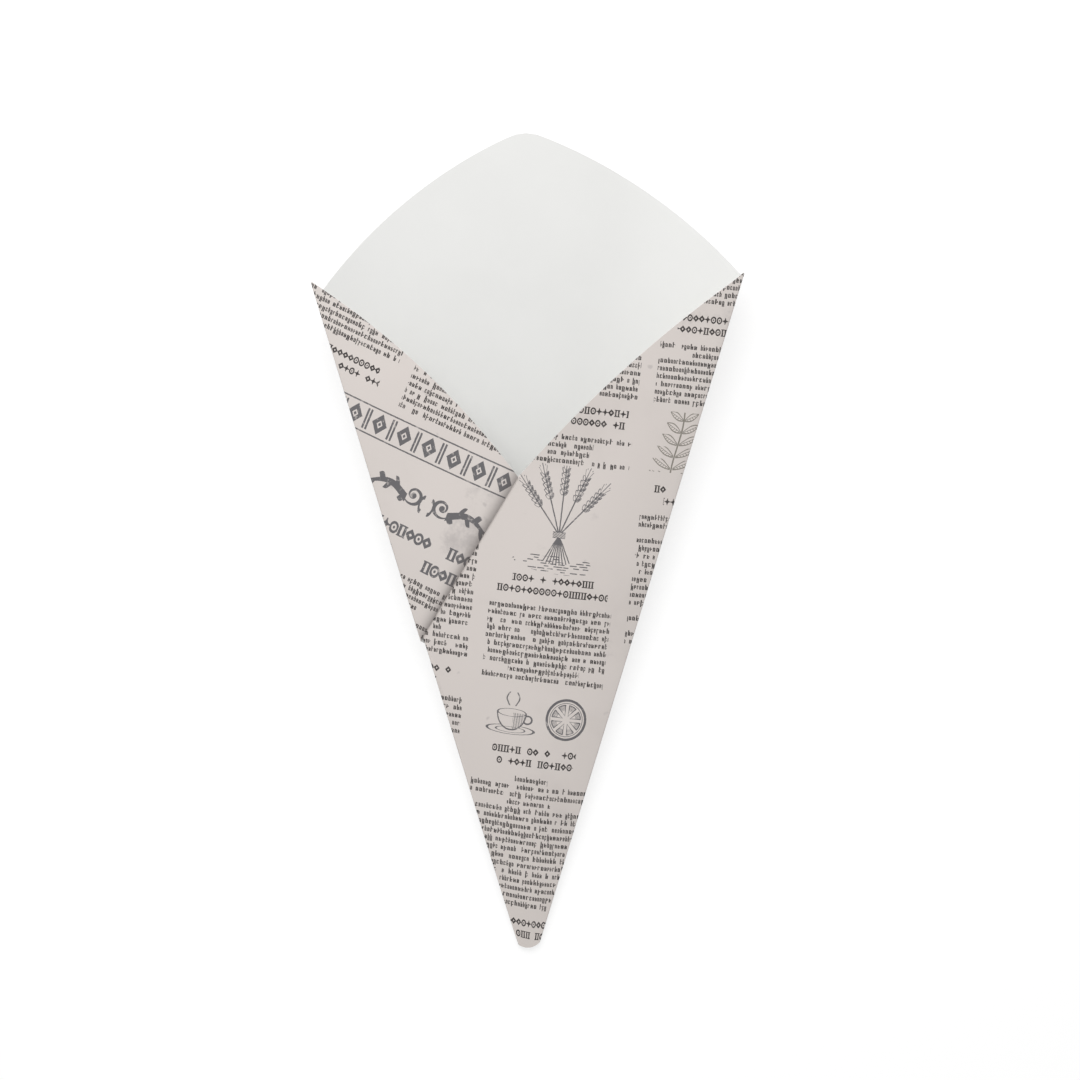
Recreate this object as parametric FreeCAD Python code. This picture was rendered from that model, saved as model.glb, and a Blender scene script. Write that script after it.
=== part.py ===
"""A cone paper cup, lying on its back as it comes out of the pack.

One sheet of paper is rolled about one and a half times round a flat cone and folded along two side
creases. From the outside in, its four plies are:
  the flap, which shows on the left of the front and ends at the glued seam,
  the back, which rises to the peak,
  the front panel, which goes under the flap,
  the inner end, which lies inside the back.
The cone grows from an apex just below the rounded tip. The model is drawn with that apex at the
origin, Y up the cup, X to the right of its front and Z from the back to the front, and is then moved
so that the middle of the resting face is the origin.
"""
import FreeCAD, Part
import math
import os

from FreeCAD import Vector

# Sheet, millimetres
PAPER = 0.35                 # thickness of the paper
PLY_GAP = 0.15               # air between two plies at a crease
CREASE_FLATS = 3             # flats that make the bend of a crease
FLAP_LIFT = 1.0              # air under the middle of the flap, at the mouth

# Cone: its width from the angle of the creases, its depth as it stands open at the mouth
HALF_ANGLE = 16.93           # degrees from the centre line to each side crease
MOUTH = 222.0                # height above the apex at which the next three are measured
FRONT_BULGE = 10.0           # rise of the front above the creases
CREASE_LIFT = 14.5           # rise of the creases above the back
REST_WIDTH = 44.0            # flat strip of the back, on which the cup lies

# Rim, as distances from the apex along a crease, or as heights and sideways places
LEFT_EAR = 231.2
RIGHT_EAR = 233.8
NOTCH = 160.1                # height of the notch where the two front rims meet
NOTCH_SIDE = -2.5
PEAK = 269.1                 # height of the peak before it is rounded
PEAK_SIDE = -0.5
PEAK_ROUND = 14.0
BACK_LEFT = 225.0            # where the back's outline starts on each crease
BACK_RIGHT = 232.1
LEFT_RIM_BOW = 4.0           # how far each edge bows out from a straight line
RIGHT_RIM_BOW = 2.8
BACK_LEFT_BOW = 6.4
BACK_RIGHT_BOW = 5.7

# Lap
SEAM_FOOT = 113.8            # where the flap's free edge reaches the left crease
SEAM_ROLL = 5.0              # width over which the flap rolls down to the seam, at the notch
SEAM_SINK = 0.1              # how far the glued edge is pressed into the front panel
SEAM_PLACES = (0.04, 0.2, 0.4, 0.6, 0.8, 1.05)  # shares of the seam, from its foot, with a section of the roll
ROLL_CROWN = 0.7             # how much of its height the roll still has at the middle of its width
ROLL_THINNER = 0.07          # how much the roll is thinner than the flap on each face, where it enters it
FLAP_SPARE = 0.012           # part of the height by which the rolled flap runs past the notch, to be cut off
BACK_CORNER = 94.4           # height at which the free edge turns down the middle of the back
HIDDEN_RIM = 130.0           # where the front panel's covered rim reaches the left crease
INNER_RIM = 117.6            # height of that rim at the inner end
INNER_LAP = 17.0             # how far the inner end reaches past the middle of the back, at the mouth

# Tip
TIP = 12.8                   # height of the rounded tip
TIP_ROUND = 4.9              # its radius
TIP_SIDE = 0.45              # how far its middle is to the right, because the left crease is set in
PRESSED = 34.0               # height up to which the plies are pressed into one

# Rest
REST_FLAT = 0.02             # depth to which the resting strip is worn flat by the table

# Working sizes of the trimming tools
BELOW = 11.5                 # the tip's block starts here, and the rounding cuts it
ABOVE = 285.0                # the rolled sheet starts out this high, and the rims cut it
BEYOND = 12.0                # how far a trimming outline runs past a crease
JOIN = 0.4                   # overlap of two pieces that are glued into one
TOOL_DEPTH = 60.0

SLOPE = math.tan(math.radians(HALF_ANGLE))


class Section:
    """The cone's section at one height: a bulged front over a back with a flat strip.

    Each ply is found by its inset, the distance inside the outermost face.
    """

    def __init__(self, height):
        self.y = height
        share = height / MOUTH
        self.crease = CREASE_LIFT * share
        self.strip = REST_WIDTH / 2 * share
        self.lap = INNER_LAP * share
        self.lift = FLAP_LIFT * share
        self.flap_end = (NOTCH_SIDE / NOTCH + FLAP_SPARE) * height
        bulge = FRONT_BULGE * share
        edge = SLOPE * height
        self.half_turn = math.atan2(bulge, edge) + math.atan2(self.crease, edge - self.strip)
        self.half = edge + PAPER * (1 / math.sin(self.half_turn) - 1)
        self.front_radius = (self.half ** 2 + bulge ** 2) / (2 * bulge)
        self.front_centre = self.crease + bulge - self.front_radius
        run = self.half - self.strip
        self.side_radius = (run ** 2 + self.crease ** 2) / (2 * self.crease)

    def at(self, x, z):
        return Vector(x, self.y, z)

    def on_front(self, x, inset):
        """The point of the front's arc at x."""
        radius = self.front_radius - inset
        return self.at(x, self.front_centre + math.sqrt(radius ** 2 - x ** 2))

    def on_side(self, side, angle, inset):
        """The point of the back's side arc, at an angle from where it leaves the flat strip."""
        radius = self.side_radius - inset
        x = self.strip + radius * math.sin(angle)
        return self.at(side * x, self.side_radius - radius * math.cos(angle))

    def on_strip(self, x, inset):
        return self.at(x, inset)

    def corner(self, side, inset):
        """Where the front and the back meet at a crease, for one ply."""
        front = self.front_radius - inset
        back = self.side_radius - inset
        across = self.strip
        up = self.side_radius - self.front_centre
        apart = math.hypot(across, up)
        along = (front ** 2 - back ** 2 + apart ** 2) / (2 * apart)
        off = math.sqrt(front ** 2 - along ** 2)
        x = (along * across + off * up) / apart
        z = self.front_centre + (along * up - off * across) / apart
        return self.at(side * x, z)

    def side_angle(self, side, point):
        return math.atan2(side * point.x - self.strip, self.side_radius - point.z)

    def bend(self, side, inset):
        """The crease of a ply, from the front to the back in flats round a bend of the paper's thickness.

        The flats' outer radius is the paper's thickness, so the inner face of the bend is sharp.
        """
        tip = self.corner(side, inset)
        taken = PAPER / math.tan(self.half_turn)
        radius = self.front_radius - inset
        turn = math.asin(side * tip.x / radius) - taken / radius
        on_front = self.on_front(side * radius * math.sin(turn), inset)
        angle = self.side_angle(side, tip) - taken / (self.side_radius - inset)
        on_back = self.on_side(side, angle, inset)
        inward = ((on_front - tip).normalize() + (on_back - tip).normalize()).normalize()
        centre = tip + inward * (PAPER / math.sin(self.half_turn))
        outward = math.atan2(-inward.z, -inward.x)
        swing = side * (math.pi / 2 - self.half_turn)
        points = [on_front]
        for flat in range(1, CREASE_FLATS):
            direction = outward + swing * (1 - 2 * flat / CREASE_FLATS)
            points.append(centre + self.turned(direction) * PAPER)
        return points + [on_back]

    def turned(self, direction):
        return Vector(math.cos(direction), 0, math.sin(direction))

    def side_arc(self, side, inset, end):
        """The back's side arc of a ply, from the flat strip to a point near the crease."""
        angle = self.side_angle(side, end)
        return arc(self.on_side(side, 0, inset), self.on_side(side, angle / 2, inset), end)


def arc(start, middle, end):
    return Part.Arc(start, middle, end).toShape()


def line(start, end):
    return Part.LineSegment(start, end).toShape()


def polyline(*points):
    return [line(a, b) for a, b in zip(points, points[1:])]


def closed(edges):
    """One closed wire of edges that meet end to end in any order."""
    return Part.Wire(Part.__sortEdges__(edges))


def loft(*wires):
    return Part.makeLoft(list(wires), True, True)


def covered(section, inset=0.0):
    """Inset of the front panel where it is under the middle of the flap, and at the left crease."""
    return PAPER + section.lift + inset, PAPER + PLY_GAP + inset


def front_panel_arc(section, inset, right, left):
    """The front panel's face, from its point at the right crease to its point at the left one."""
    middle, _ = covered(section, inset)
    return arc(right, section.on_front(0, middle), left)


def rolled_sheet(height):
    """Section of the whole sheet: in from the flap's end by its outer face, back by its inner one."""
    s = Section(height)
    _, nested = covered(s)
    inner = nested + PAPER
    left, right, second = s.bend(-1, 0), s.bend(1, 0), s.bend(-1, nested)
    flap_top = s.on_front(s.flap_end, 0)
    flap_under = s.on_front(s.flap_end, PAPER)
    end_under = s.on_strip(s.lap, nested)
    end_top = s.on_strip(s.lap, inner)
    left_corner, right_corner = s.corner(-1, PAPER), s.corner(1, PAPER)
    inner_corner = s.corner(-1, inner)
    outer_face = [
        arc(flap_top, s.on_front((s.flap_end + left[0].x) / 2, 0), left[0]),
        *polyline(*left),
        s.side_arc(-1, 0, left[-1]),
        line(s.on_strip(-s.strip, 0), s.on_strip(s.strip, 0)),
        s.side_arc(1, 0, right[-1]),
        *polyline(*right),
        front_panel_arc(s, 0, right[0], second[0]),
        *polyline(*second),
        s.side_arc(-1, nested, second[-1]),
        line(s.on_strip(-s.strip, nested), end_under),
    ]
    inner_face = [
        line(end_top, s.on_strip(-s.strip, inner)),
        s.side_arc(-1, inner, inner_corner),
        front_panel_arc(s, PAPER, right_corner, inner_corner),
        s.side_arc(1, PAPER, right_corner),
        line(s.on_strip(s.strip, PAPER), s.on_strip(-s.strip, PAPER)),
        s.side_arc(-1, PAPER, left_corner),
        arc(left_corner, s.on_front((s.flap_end + left_corner.x) / 2, PAPER), flap_under),
    ]
    ends = [line(flap_under, flap_top), line(end_under, end_top)]
    return closed(outer_face + inner_face + ends)


def pressed_tip(height):
    """Section of the tip, where the plies are one: the outer faces of the sheet that show there."""
    s = Section(height)
    _, nested = covered(s)
    right, second = s.bend(1, 0), s.bend(-1, nested)
    return closed([
        front_panel_arc(s, 0, right[0], second[0]),
        *polyline(*second),
        s.side_arc(-1, nested, second[-1]),
        *polyline(s.on_strip(-s.strip, nested), s.on_strip(0, nested), s.on_strip(0, 0),
                  s.on_strip(s.strip, 0)),
        s.side_arc(1, 0, right[-1]),
        *polyline(*right),
    ])


def between_plies(height):
    """Section of the space inside the outer ply: front panel and inner end, but neither flap nor back."""
    s = Section(height)
    inset = PAPER + PLY_GAP / 2
    left = s.corner(-1, inset)
    outside = s.at(s.half * 1.05, s.crease)
    inside = s.at(s.half * 0.8, s.crease)
    past_end = s.on_strip((s.lap + s.strip) / 2, inset)
    return closed([
        arc(left, s.on_front(0, PAPER + s.lift / 2), outside),
        line(outside, inside),
        line(inside, past_end),
        line(past_end, s.on_strip(-s.strip, inset)),
        s.side_arc(-1, inset, left),
    ])


def crease_half(upward):
    """Everything above, or below, the plane through the apex and both creases."""
    low, high = BELOW / 2, ABOVE * 1.1
    depth = TOOL_DEPTH if upward else -TOOL_DEPTH
    rise = CREASE_LIFT / MOUTH
    width = high * SLOPE * 1.5
    corners = [Vector(-width, low, rise * low), Vector(-width, high, rise * high),
               Vector(-width, high, rise * high + depth), Vector(-width, low, rise * low + depth)]
    return Part.Face(Part.makePolygon(corners + corners[:1])).extrude(Vector(2 * width, 0, 0))


def on_crease(side, distance):
    """Plan point on a crease, at a distance from the apex."""
    angle = math.radians(HALF_ANGLE)
    return Vector(side * distance * math.sin(angle), distance * math.cos(angle), 0)


def past(start, end):
    """The line from start to end, carried on past the crease at its end."""
    return end + (end - start).normalize() * BEYOND


def bowed(start, end, bow):
    """An edge of the outline that bows out, to the left of its direction, from a straight line."""
    across = Vector(start.y - end.y, end.x - start.x, 0).normalize()
    return arc(start, (start + end) * 0.5 + across * bow, end)


def upright(edges):
    """The solid that stands on a plan outline, through all plies."""
    face = Part.Face(closed(edges))
    face.translate(Vector(0, 0, -TOOL_DEPTH / 2))
    return face.extrude(Vector(0, 0, 2 * TOOL_DEPTH))


NOTCH_POINT = Vector(NOTCH_SIDE, NOTCH, 0)
PEAK_POINT = Vector(PEAK_SIDE, PEAK, 0)


def flap_outline(roll):
    """The flap: its rim from the ear to the notch, and its free edge, less the part that rolls down."""
    ear, foot = on_crease(-1, LEFT_EAR), on_crease(-1, SEAM_FOOT)
    seam = (NOTCH_POINT - foot).normalize()
    inward = Vector(-seam.y, seam.x, 0)
    far = NOTCH_POINT + inward * roll + seam * BEYOND
    rim_end = NOTCH_POINT + (NOTCH_POINT - ear).normalize() * BEYOND
    seam_edge = past(far, foot)
    whole = upright([
        bowed(ear, NOTCH_POINT, LEFT_RIM_BOW),
        *polyline(NOTCH_POINT, rim_end, seam_edge, past(NOTCH_POINT, ear), ear),
    ])
    below_seam = upright(polyline(far, seam_edge, seam_edge - inward * TOOL_DEPTH,
                                  far - inward * TOOL_DEPTH, far))
    return whole.cut(below_seam)


def front_outline():
    """The front panel: the right rim down to the notch, and on under the flap."""
    ear, hidden = on_crease(1, RIGHT_EAR), on_crease(-1, HIDDEN_RIM)
    right_foot = Vector(BELOW * SLOPE + BEYOND, 0, 0)
    return upright([
        bowed(NOTCH_POINT, ear, RIGHT_RIM_BOW),
        *polyline(ear, past(NOTCH_POINT, ear), right_foot, -right_foot,
                  past(NOTCH_POINT, hidden), NOTCH_POINT),
    ])


def inner_end_outline():
    """The inner end: the covered rim goes on round the left crease to the end of the sheet."""
    hidden = on_crease(-1, HIDDEN_RIM)
    end = Vector(INNER_LAP * INNER_RIM / MOUTH, INNER_RIM, 0)
    right_foot = Vector(BEYOND, 0, 0)
    return upright(polyline(past(end, hidden), past(hidden, end), right_foot, -right_foot * 3,
                            past(end, hidden)))


def back_outline():
    """The back: up to the rounded peak, with the free edge that runs down from the left crease."""
    left, right = on_crease(-1, BACK_LEFT), on_crease(1, BACK_RIGHT)
    corner = Vector(0, BACK_CORNER, 0)
    foot = on_crease(-1, SEAM_FOOT)
    outline = upright([
        bowed(left, PEAK_POINT, BACK_LEFT_BOW),
        bowed(PEAK_POINT, right, BACK_RIGHT_BOW),
        *polyline(right, past(PEAK_POINT, right), Vector(BEYOND, 0, 0), Vector(0, 0, 0), corner,
                  past(corner, foot), past(PEAK_POINT, left), left),
    ])
    upright_edges = [e for e in outline.Edges if abs(e.Vertexes[0].Z - e.Vertexes[-1].Z) > TOOL_DEPTH]
    peak = min(upright_edges, key=lambda e: math.hypot(e.Vertexes[0].X - PEAK_POINT.x,
                                                       e.Vertexes[0].Y - PEAK_POINT.y))
    return outline.makeFillet(PEAK_ROUND, [peak])


def seam_strip():
    """The flap's free edge: it rolls down and is glued to the front panel."""
    foot = on_crease(-1, SEAM_FOOT)
    along = NOTCH_POINT - foot
    inward = Vector(-along.y, along.x, 0).normalize()
    wires = []
    for share in SEAM_PLACES:
        wires.append(strip_section(foot + along * share, inward, SEAM_ROLL * share))
    strip = Part.makeLoft(wires, True, False)
    return strip.common(flap_outline(0))


def strip_section(edge, inward, width):
    """The rolled edge at one place of the seam, from the glued edge up to the flap."""
    def place(distance):
        return edge + inward * distance

    def flap(distance, inset):
        spot = place(distance)
        return Vector(spot.x, spot.y, Section(spot.y).on_front(spot.x, inset).z)

    def panel(distance, rise):
        spot = place(distance)
        return Vector(spot.x, spot.y, panel_height(spot) + rise)

    half = width / 2
    lift = flap(half, PAPER).z - panel(half, 0).z
    low, high = ROLL_THINNER, PAPER - ROLL_THINNER
    return closed([
        arc(panel(0, PAPER), panel(half, PAPER + ROLL_CROWN * lift), flap(width, low)),
        *polyline(flap(width, low), flap(width + JOIN, low), flap(width + JOIN, high), flap(width, high)),
        arc(flap(width, high), panel(half, ROLL_CROWN * lift), panel(width / 10, -SEAM_SINK)),
        line(panel(width / 10, -SEAM_SINK), panel(0, -SEAM_SINK)),
        line(panel(0, -SEAM_SINK), panel(0, PAPER)),
    ])


def panel_height(spot):
    """Height of the front panel's outer face at a plan point."""
    s = Section(spot.y)
    _, nested = covered(s)
    face = front_panel_arc(s, 0, s.bend(1, 0)[0], s.bend(-1, nested)[0]).Curve
    return face.Center.z + math.sqrt(face.Radius ** 2 - (spot.x - face.Center.x) ** 2)


def tip_cutter():
    """What the rounded tip leaves out."""
    top = TIP + TIP_ROUND
    width = TIP_ROUND * 2
    block = upright(polyline(Vector(-width, 0, 0), Vector(width, 0, 0), Vector(width, top, 0),
                             Vector(-width, top, 0), Vector(-width, 0, 0)))
    round_end = Part.makeCylinder(TIP_ROUND, 2 * TOOL_DEPTH, Vector(TIP_SIDE, top, -TOOL_DEPTH / 2))
    return block.cut(round_end)


def table():
    """The flat ground under the cup, which gives its back a plane face to rest on."""
    return Part.makeBox(2 * ABOVE, 2 * ABOVE, TOOL_DEPTH, Vector(-ABOVE, -BEYOND, REST_FLAT - TOOL_DEPTH))


def paper_cone():
    """Roll the sheet, trim each ply to its own outline, glue the seam and press the tip."""
    sheet = loft(rolled_sheet(PRESSED), rolled_sheet(ABOVE))
    inside = loft(between_plies(PRESSED - 1), between_plies(ABOVE + 1))
    above, below = crease_half(True), crease_half(False)
    waste = [
        above.cut(inside).cut(flap_outline(SEAM_ROLL)),
        above.common(inside).cut(front_outline()),
        below.common(inside).cut(inner_end_outline()),
        below.cut(inside).cut(back_outline()),
    ]
    for ply in waste:
        sheet = sheet.cut(ply)
    tip = loft(pressed_tip(BELOW), pressed_tip(PRESSED))
    return sheet.fuse([tip, seam_strip()]).cut([tip_cutter(), table()])


def main():
    cone = paper_cone()
    box = cone.optimalBoundingBox(False, False)
    cone.translate(Vector(-box.Center.x, -box.Center.y, -box.ZMin))
    os.makedirs("parts", exist_ok=True)
    cone.exportStep("parts/paper_cone.step")
    print("valid", cone.isValid(), "solids", len(cone.Solids), "volume", round(cone.Volume, 1))
    print("box", box.XLength, box.YLength, box.ZLength)


main()
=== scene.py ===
"""A cone paper cup, dressed for its picture.

The cup is one printed sheet, rolled about one and a half times into a flat cone. This script rolls that
sheet again as a fine mesh on the same sections as the solid part, gives it a printed outside, a white
inside and a pale cut edge, and lights it from above on a white table.

Lengths are millimetres up to the point where a mesh takes its place, and metres from there on. The sheet
is drawn with the cone's apex at the origin, Y up the cup, X to the right of its front and Z from the back
to the front.
"""

import logging
import math
from dataclasses import dataclass, field
from enum import Enum
from typing import Callable, Dict, List, Optional, Sequence, Tuple, Union

import bmesh
import bpy
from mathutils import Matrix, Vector


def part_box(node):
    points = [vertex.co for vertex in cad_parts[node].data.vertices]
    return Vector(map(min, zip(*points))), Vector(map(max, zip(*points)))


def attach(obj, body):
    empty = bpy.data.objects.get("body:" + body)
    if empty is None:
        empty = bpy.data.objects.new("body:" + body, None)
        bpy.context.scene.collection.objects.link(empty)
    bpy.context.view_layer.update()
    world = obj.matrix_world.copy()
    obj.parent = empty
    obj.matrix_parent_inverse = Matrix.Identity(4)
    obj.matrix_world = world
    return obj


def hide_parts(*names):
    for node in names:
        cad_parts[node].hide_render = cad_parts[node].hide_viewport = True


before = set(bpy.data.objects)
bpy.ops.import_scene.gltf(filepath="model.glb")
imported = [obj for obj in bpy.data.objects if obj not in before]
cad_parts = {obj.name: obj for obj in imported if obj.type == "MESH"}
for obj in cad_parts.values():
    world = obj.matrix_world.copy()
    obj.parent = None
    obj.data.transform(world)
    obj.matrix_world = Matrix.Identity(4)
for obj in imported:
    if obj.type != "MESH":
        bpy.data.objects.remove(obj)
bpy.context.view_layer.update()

log = logging.getLogger("cone_paper_cup")

MM = 0.001
NODE = "paper_cone"


def smooth(share: float) -> float:
    """A soft step from 0 to 1."""
    share = min(1.0, max(0.0, share))
    return share * share * (3 - 2 * share)


@dataclass(frozen=True)
class Sizes:
    """The named sizes of the cup, in millimetres and degrees."""

    paper: float = 0.35
    ply_gap: float = 0.15
    flap_lift: float = 1.0
    bend_radius: float = 0.48
    half_angle: float = 16.93
    mouth: float = 222.0
    front_bulge: float = 10.0
    crease_lift: float = 14.5
    rest_width: float = 44.0
    inner_lap: float = 17.0
    tip: float = 12.8
    tip_round: float = 4.9
    tip_side: float = 0.45
    left_ear: float = 231.2
    right_ear: float = 233.8
    notch: float = 160.1
    notch_side: float = -2.5
    peak: float = 269.1
    peak_side: float = -0.5
    peak_blend: float = 3.8
    back_left: float = 225.0
    back_right: float = 232.1
    left_rim_bow: float = 4.0
    right_rim_bow: float = 2.8
    back_left_bow: float = 6.4
    back_right_bow: float = 5.7
    seam_foot: float = 113.8
    seam_roll: float = 5.0
    back_corner: float = 94.4
    hidden_rim: float = 130.0
    inner_rim: float = 117.6


@dataclass(frozen=True)
class Spot:
    """A place in the plan of the lying cup, seen from above."""

    x: float
    y: float

    def to(self, other: "Spot") -> "Spot":
        """The step from here to another place."""
        return Spot(other.x - self.x, other.y - self.y)

    def moved(self, step: "Spot", times: float = 1.0) -> "Spot":
        """This place after a step, taken so many times."""
        return Spot(self.x + step.x * times, self.y + step.y * times)

    @property
    def length(self) -> float:
        """Distance from the apex."""
        return math.hypot(self.x, self.y)

    @property
    def unit(self) -> "Spot":
        """The same direction with a length of one."""
        return Spot(self.x / self.length, self.y / self.length)

    def dot(self, other: "Spot") -> float:
        """The length of one along the other."""
        return self.x * other.x + self.y * other.y


class Edge:
    """One edge of the sheet in the plan: an arc that bows out a little from a straight line."""

    def __init__(self, start: Spot, end: Spot, bow: float) -> None:
        """Finds the arc's circle.

        Args:
            start: where the edge starts.
            end: where it ends.
            bow: how far its middle stands out, to the left of its direction.
        """
        run = start.to(end)
        self.start = start
        self.along = run.unit
        self.across = Spot(-self.along.y, self.along.x)
        half = run.length / 2
        self.middle = start.moved(run, 0.5)
        self.radius = (half * half + bow * bow) / (2 * bow) if bow else 0.0
        self.centre = self.middle.moved(self.across, bow - self.radius)

    def reach(self, lean: float) -> float:
        """Height at which a line from the apex meets the edge.

        Args:
            lean: the line's sideways run for each unit of height.

        Returns:
            The height of the place where they meet.
        """
        if not self.radius:
            normal = self.across
            return self.start.dot(normal) / (lean * normal.x + normal.y)
        a = 1 + lean * lean
        b = lean * self.centre.x + self.centre.y
        c = self.centre.length ** 2 - self.radius ** 2
        root = math.sqrt(max(0.0, b * b - a * c))
        return (b + root) / a


class Section:
    """The cone's section at one height: a bulged front over a back with a flat strip."""

    def __init__(self, sizes: Sizes, height: float) -> None:
        """Works out the radii and centres of the section.

        Args:
            sizes: the cup's sizes.
            height: distance from the apex along Y.
        """
        share = height / sizes.mouth
        self.sizes = sizes
        self.height = height
        self.share = share
        self.crease = sizes.crease_lift * share
        self.strip = sizes.rest_width / 2 * share
        self.lap = sizes.inner_lap * share
        self.lift = sizes.flap_lift * share
        bulge = sizes.front_bulge * share
        edge = math.tan(math.radians(sizes.half_angle)) * height
        self.half_turn = math.atan2(bulge, edge) + math.atan2(self.crease, edge - self.strip)
        self.half = edge + sizes.paper * (1 / math.sin(self.half_turn) - 1)
        self.front_radius = (self.half ** 2 + bulge ** 2) / (2 * bulge)
        self.front_centre = self.crease + bulge - self.front_radius
        run = self.half - self.strip
        self.side_radius = (run ** 2 + self.crease ** 2) / (2 * self.crease)

    def on_front(self, x: float, inset: float) -> Vector:
        """The point of the front's arc at x, so far inside the outermost face."""
        radius = self.front_radius - inset
        return Vector((x, self.height, self.front_centre + math.sqrt(radius ** 2 - x ** 2)))

    def on_side(self, side: int, angle: float, inset: float) -> Vector:
        """The point of the back's side arc, at an angle from where it leaves the flat strip.

        Args:
            side: -1 for the left, 1 for the right.
            angle: the angle, in radians.
            inset: distance inside the outermost face.

        Returns:
            The point.
        """
        radius = self.side_radius - inset
        x = self.strip + radius * math.sin(angle)
        return Vector((side * x, self.height, self.side_radius - radius * math.cos(angle)))

    def on_strip(self, x: float, inset: float) -> Vector:
        """The point of the back's flat strip at x."""
        return Vector((x, self.height, inset))

    def corner(self, side: int, inset: float) -> Vector:
        """Where the front and the back of one ply would meet without a bend.

        Args:
            side: -1 for the left, 1 for the right.
            inset: distance inside the outermost face.

        Returns:
            The place.
        """
        front = self.front_radius - inset
        back = self.side_radius - inset
        across = self.strip
        up = self.side_radius - self.front_centre
        apart = math.hypot(across, up)
        along = (front ** 2 - back ** 2 + apart ** 2) / (2 * apart)
        off = math.sqrt(max(0.0, front ** 2 - along ** 2))
        x = (along * across + off * up) / apart
        z = self.front_centre + (along * up - off * across) / apart
        return Vector((side * x, self.height, z))

    def bend(self, side: int, inset: float, share: float) -> Vector:
        """A point of the round bend at a crease.

        Args:
            side: -1 for the left crease, 1 for the right one.
            inset: distance inside the outermost face.
            share: 0 at the front's end of the bend, 1 at the back's.

        Returns:
            The point.
        """
        tip = self.corner(side, inset)
        radius = self.sizes.bend_radius
        taken = radius / math.tan(self.half_turn)
        front_radius = self.front_radius - inset
        turn = math.asin(min(1.0, abs(tip.x) / front_radius)) - taken / front_radius
        on_front = self.on_front(side * front_radius * math.sin(turn), inset)
        angle = math.atan2(abs(tip.x) - self.strip, self.side_radius - tip.z)
        on_back = self.on_side(side, angle - taken / (self.side_radius - inset), inset)
        if share <= 0:
            return on_front
        if share >= 1:
            return on_back
        inward = ((on_front - tip).normalized() + (on_back - tip).normalized()).normalized()
        centre = tip + inward * (radius / math.sin(self.half_turn))
        outward = math.atan2(-inward.z, -inward.x)
        swing = side * (math.pi / 2 - self.half_turn)
        direction = outward + swing * (1 - 2 * share)
        return centre + Vector((math.cos(direction), 0, math.sin(direction))) * radius

    @property
    def nested(self) -> float:
        """Inset of the ply that lies inside the outer one at the left crease and on the back."""
        return self.sizes.paper + self.sizes.ply_gap

    def on_side_share(self, side: int, share: float, inset: float) -> Vector:
        """The point of a side arc: 0 where it leaves the strip, 1 where the bend starts.

        Args:
            side: -1 for the left, 1 for the right.
            share: how far along the arc.
            inset: distance inside the outermost face.

        Returns:
            The point.
        """
        end = self.bend(side, inset, 1)
        angle = math.atan2(abs(end.x) - self.strip, self.side_radius - end.z)
        return self.on_side(side, angle * share, inset)

    def on_panel(self, share: float) -> Vector:
        """The point of the front panel's outer face.

        Args:
            share: 0 at the right crease, 1 at the left one, where the panel lies under the flap.

        Returns:
            The point.
        """
        right = self.bend(1, 0, 0)
        left = self.bend(-1, self.nested, 0)
        return self.panel_at(right.x + (left.x - right.x) * share, right, left)

    def panel_at(self, x: float, right: Vector, left: Vector) -> Vector:
        """The point at x on the arc through both creases and the covered middle of the panel.

        Args:
            x: distance to the right of the middle.
            right: the end at the right crease.
            left: the end at the left crease.

        Returns:
            The point.
        """
        middle = self.on_front(0, self.sizes.paper + self.lift)
        centre, radius = circle_through(right, middle, left)
        return Vector((x, self.height, centre.z + math.sqrt(max(0.0, radius ** 2 - (x - centre.x) ** 2))))

    def panel_height(self, x: float) -> float:
        """Height of the front panel's outer face at x."""
        return self.panel_at(x, self.bend(1, 0, 0), self.bend(-1, self.nested, 0)).z


def circle_through(a: Vector, b: Vector, c: Vector) -> Tuple[Vector, float]:
    """The circle through three points of one section.

    Args:
        a: one point.
        b: another point.
        c: a third point.

    Returns:
        Its centre and its radius.
    """
    d = 2 * (a.x * (b.z - c.z) + b.x * (c.z - a.z) + c.x * (a.z - b.z))
    aa = a.x ** 2 + a.z ** 2
    bb = b.x ** 2 + b.z ** 2
    cc = c.x ** 2 + c.z ** 2
    x = (aa * (b.z - c.z) + bb * (c.z - a.z) + cc * (a.z - b.z)) / d
    z = (aa * (c.x - b.x) + bb * (a.x - c.x) + cc * (b.x - a.x)) / d
    return Vector((x, a.y, z)), math.hypot(a.x - x, a.z - z)


class Ply(Enum):
    """The stretches of the sheet, from its free edge on the front inwards."""

    FLAP = "flap"
    LEFT_BEND = "left bend"
    BACK_LEFT = "back, left side"
    STRIP_LEFT = "resting strip, left half"
    STRIP_RIGHT = "resting strip, right half"
    BACK_RIGHT = "back, right side"
    RIGHT_BEND = "right bend"
    PANEL = "front panel"
    INNER_BEND = "inner left bend"
    INNER_SIDE = "inner end, side"
    INNER_STRIP = "inner end, strip"


COLUMNS: Dict[Ply, int] = {
    Ply.FLAP: 56,
    Ply.LEFT_BEND: 6,
    Ply.BACK_LEFT: 16,
    Ply.STRIP_LEFT: 8,
    Ply.STRIP_RIGHT: 8,
    Ply.BACK_RIGHT: 16,
    Ply.RIGHT_BEND: 6,
    Ply.PANEL: 60,
    Ply.INNER_BEND: 6,
    Ply.INNER_SIDE: 12,
    Ply.INNER_STRIP: 12,
}


@dataclass
class Column:
    """One line of the sheet from the tip to the rim."""

    ply: Ply
    share: float
    low: float = 0.0
    middle: float = 0.0
    high: float = 0.0
    angle: float = 0.0


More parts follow.
